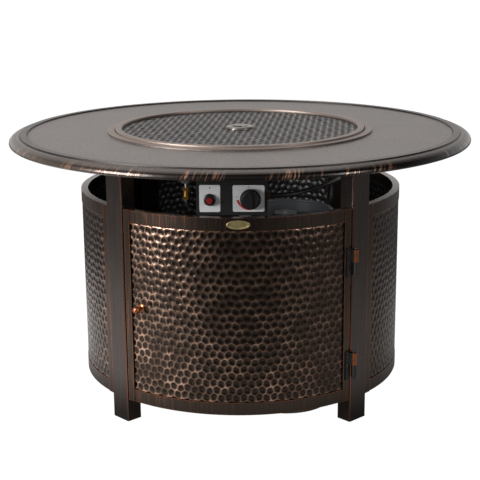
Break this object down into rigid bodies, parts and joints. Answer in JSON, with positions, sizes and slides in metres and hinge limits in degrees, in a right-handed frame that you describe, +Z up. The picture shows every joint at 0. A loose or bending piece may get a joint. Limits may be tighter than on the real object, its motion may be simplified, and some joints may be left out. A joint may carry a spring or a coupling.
{
  "type": "propane fire pit",
  "caption": "Round propane fire table with a hammered drum base, hinged door, lift-off lid over a burner pan, igniter and gas knob, and a gas cylinder inside.",
  "frame": {"origin": "on the floor, under the middle of the round top", "axes": "+Z up, the door and controls face -Y, +X to the right of a person facing the door"},
  "size_m": [1.0669, 1.067, 0.63],
  "materials": {
    "cast_bronze": "bronze powder coat on cast aluminium, sand texture",
    "frame_bronze": "dark bronze powder coat on aluminium tube, copper-rubbed edges",
    "hammered_bronze": "dark bronze powder coat, copper-rubbed hammer ridges",
    "copper_bronze": "brushed copper bronze",
    "black_metal": "satin black powder coat",
    "pan_steel": "satin stainless",
    "zinc_steel": "zinc plated",
    "silver_plate": "brushed",
    "cast_aluminium": "die cast",
    "brass": "satin",
    "white_ceramic": "unglazed",
    "lava": "porous lava",
    "black_plastic": "matte",
    "red_plastic": "gloss",
    "grey_paint": "grey gas cylinder paint",
    "black_rubber": "matte"
  },
  "bodies": {
    "table": {"tabletop": "cast_bronze", "burner_pan": "pan_steel", "burner_ring": "pan_steel", "burner_elbow": "pan_steel", "igniter_bracket": "pan_steel", "spark_electrode": "white_ceramic", "thermocouple": "brass", "lava_rocks": "lava", "front_left_leg": "frame_bronze", "front_right_leg": "frame_bronze", "back_right_leg": "frame_bronze", "back_left_leg": "frame_bronze", "foot_glides": "black_plastic", "table_bolts": "zinc_steel", "right_panel_frame": "frame_bronze", "right_panel_sheet": "hammered_bronze", "back_panel_frame": "frame_bronze", "back_panel_sheet": "hammered_bronze", "left_panel_frame": "frame_bronze", "left_panel_sheet": "hammered_bronze", "panel_bolts": "zinc_steel", "upper_hinge_knuckle": "black_metal", "upper_hinge_pin": "black_metal", "lower_hinge_knuckle": "black_metal", "lower_hinge_pin": "black_metal", "magnet_catch": "black_plastic", "control_box": "black_metal", "control_box_screws": "zinc_steel", "igniter_plate": "silver_plate", "dial_plate": "silver_plate", "igniter_body": "black_plastic", "igniter_nut": "zinc_steel", "gas_valve": "cast_aluminium", "hose_nut": "brass", "feed_union": "brass", "feed_line": "black_metal", "cylinder_shell": "grey_paint", "cylinder_collar": "grey_paint", "cylinder_valve": "brass", "regulator": "cast_aluminium", "gas_hose": "black_rubber"},
    "door": {"door_frame": "frame_bronze", "door_sheet": "hammered_bronze", "door_knob": "copper_bronze", "door_knob_nut": "zinc_steel", "upper_hinge_leaf": "copper_bronze", "lower_hinge_leaf": "copper_bronze", "hinge_screws": "black_metal", "strike_plate": "zinc_steel"},
    "lid": {"lid": "cast_bronze", "lid_handle": "cast_bronze", "lid_handle_nut": "zinc_steel"},
    "valve_plunger": {"valve_plunger": "zinc_steel"},
    "control_knob": {"control_knob": "black_plastic", "valve_spindle": "zinc_steel"},
    "igniter_button": {"igniter_button": "red_plastic"},
    "cylinder_handwheel": {"cylinder_handwheel": "black_plastic"},
    "coupling_nut": {"coupling_nut": "black_plastic"}
  },
  "joints": [
    {"name": "door_swing", "type": "hinge", "parent": "table", "child": "door", "pos_m": [0.25562, -0.28673, 0.2585], "axis": [0, 0, 1], "range_deg": [0, 135]},
    {"name": "lid_lift", "type": "slide", "parent": "table", "child": "lid", "axis": [0, 0, 1], "range_m": [0, 0.25]},
    {"name": "knob_push", "type": "slide", "parent": "table", "child": "valve_plunger", "axis": [0, 1, 0], "range_m": [0, 0.004], "stiffness_N_per_m": 600},
    {"name": "knob_turn", "type": "hinge", "parent": "valve_plunger", "child": "control_knob", "pos_m": [0.0295, -0.312, 0.522], "axis": [0, -1, 0], "range_deg": [0, 180]},
    {"name": "igniter_press", "type": "slide", "parent": "table", "child": "igniter_button", "axis": [0, 1, 0], "range_m": [0, 0.005], "stiffness_N_per_m": 500},
    {"name": "cylinder_valve_turn", "type": "hinge", "parent": "table", "child": "cylinder_handwheel", "pos_m": [0.10602, -0.11983, 0.44], "axis": [0, 0, 1], "range_deg": [0, 720]},
    {"name": "coupling_spin", "type": "hinge", "parent": "table", "child": "coupling_nut", "pos_m": [0.10602, -0.11983, 0.39734], "axis": [0.4695, 0.8829, 0], "continuous": true}
  ]
}
